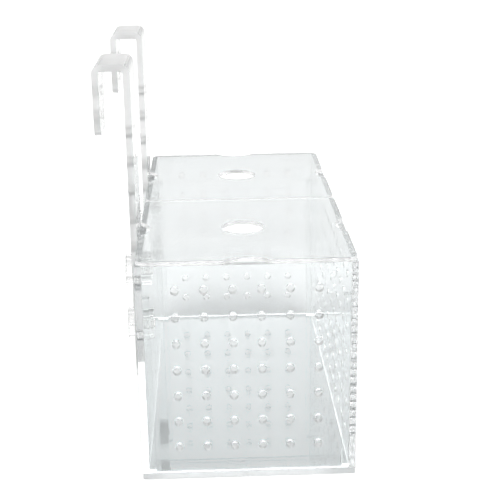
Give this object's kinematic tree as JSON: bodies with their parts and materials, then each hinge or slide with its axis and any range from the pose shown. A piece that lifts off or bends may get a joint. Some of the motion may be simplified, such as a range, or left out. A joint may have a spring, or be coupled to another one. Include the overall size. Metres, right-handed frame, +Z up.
{
  "type": "fish breeding box",
  "caption": "Hang-on fish breeding box of clear acrylic sheet: perforated walls, lift-off lids with feeding holes, and drilled rim hooks held by thumb screws.",
  "frame": {"origin": "middle of the underside of the floor sheet", "axes": "+X to the perforated front wall, -X to the hooks, +Y along the box to its far end, +Z up"},
  "size_m": [0.117, 0.2, 0.1905],
  "materials": {
    "tank_acrylic": "clear cast acrylic sheet with polished faces and laser-cut edges",
    "lid_acrylic": "clear cast acrylic sheet with polished faces and laser-cut edges",
    "hook_acrylic": "clear acrylic strip, heat-bent",
    "clear_fastener": "clear moulded plastic, slightly milky"
  },
  "bodies": {
    "tank": {"floor_panel": "tank_acrylic", "front_wall": "tank_acrylic", "back_wall": "tank_acrylic", "near_end_wall": "tank_acrylic", "far_end_wall": "tank_acrylic", "near_front_strip": "tank_acrylic", "near_back_strip": "tank_acrylic", "far_front_strip": "tank_acrylic", "far_back_strip": "tank_acrylic", "near_hook": "hook_acrylic", "far_hook": "hook_acrylic"},
    "near_lid_body": {"near_lid": "lid_acrylic"},
    "far_lid_body": {"far_lid": "lid_acrylic"},
    "near_upper_nut_body": {"near_upper_nut": "clear_fastener"},
    "near_upper_screw_body": {"near_upper_screw": "clear_fastener"},
    "near_lower_nut_body": {"near_lower_nut": "clear_fastener"},
    "near_lower_screw_body": {"near_lower_screw": "clear_fastener"},
    "far_upper_nut_body": {"far_upper_nut": "clear_fastener"},
    "far_upper_screw_body": {"far_upper_screw": "clear_fastener"},
    "far_lower_nut_body": {"far_lower_nut": "clear_fastener"},
    "far_lower_screw_body": {"far_lower_screw": "clear_fastener"}
  },
  "joints": [
    {"name": "near_lid_lift", "type": "slide", "parent": "tank", "child": "near_lid_body", "axis": [0, 0, 1], "range_m": [0, 0.06]},
    {"name": "far_lid_lift", "type": "slide", "parent": "tank", "child": "far_lid_body", "axis": [0, 0, 1], "range_m": [0, 0.06]},
    {"name": "near_upper_screw_draw", "type": "slide", "parent": "tank", "child": "near_upper_screw_body", "axis": [-1, 0, 0], "range_m": [0, 0.0016]},
    {"name": "near_upper_nut_turn", "type": "hinge", "parent": "tank", "child": "near_upper_nut_body", "pos_m": [-0.047, -0.053, 0.0885], "axis": [1, 0, 0], "range_deg": [0, 722]},
    {"name": "near_lower_screw_draw", "type": "slide", "parent": "tank", "child": "near_lower_screw_body", "axis": [-1, 0, 0], "range_m": [0, 0.0016]},
    {"name": "near_lower_nut_turn", "type": "hinge", "parent": "tank", "child": "near_lower_nut_body", "pos_m": [-0.047, -0.053, 0.0609], "axis": [1, 0, 0], "range_deg": [0, 722]},
    {"name": "far_upper_screw_draw", "type": "slide", "parent": "tank", "child": "far_upper_screw_body", "axis": [-1, 0, 0], "range_m": [0, 0.0016]},
    {"name": "far_upper_nut_turn", "type": "hinge", "parent": "tank", "child": "far_upper_nut_body", "pos_m": [-0.047, 0.053, 0.0885], "axis": [1, 0, 0], "range_deg": [0, 722]},
    {"name": "far_lower_screw_draw", "type": "slide", "parent": "tank", "child": "far_lower_screw_body", "axis": [-1, 0, 0], "range_m": [0, 0.0016]},
    {"name": "far_lower_nut_turn", "type": "hinge", "parent": "tank", "child": "far_lower_nut_body", "pos_m": [-0.047, 0.053, 0.0609], "axis": [1, 0, 0], "range_deg": [0, 722]}
  ],
  "couplings": [
    {"joint": "near_upper_nut_turn", "follows": "near_upper_screw_draw", "rad_per_m": 7854},
    {"joint": "near_lower_nut_turn", "follows": "near_lower_screw_draw", "rad_per_m": 7854},
    {"joint": "far_upper_nut_turn", "follows": "far_upper_screw_draw", "rad_per_m": 7854},
    {"joint": "far_lower_nut_turn", "follows": "far_lower_screw_draw", "rad_per_m": 7854}
  ]
}
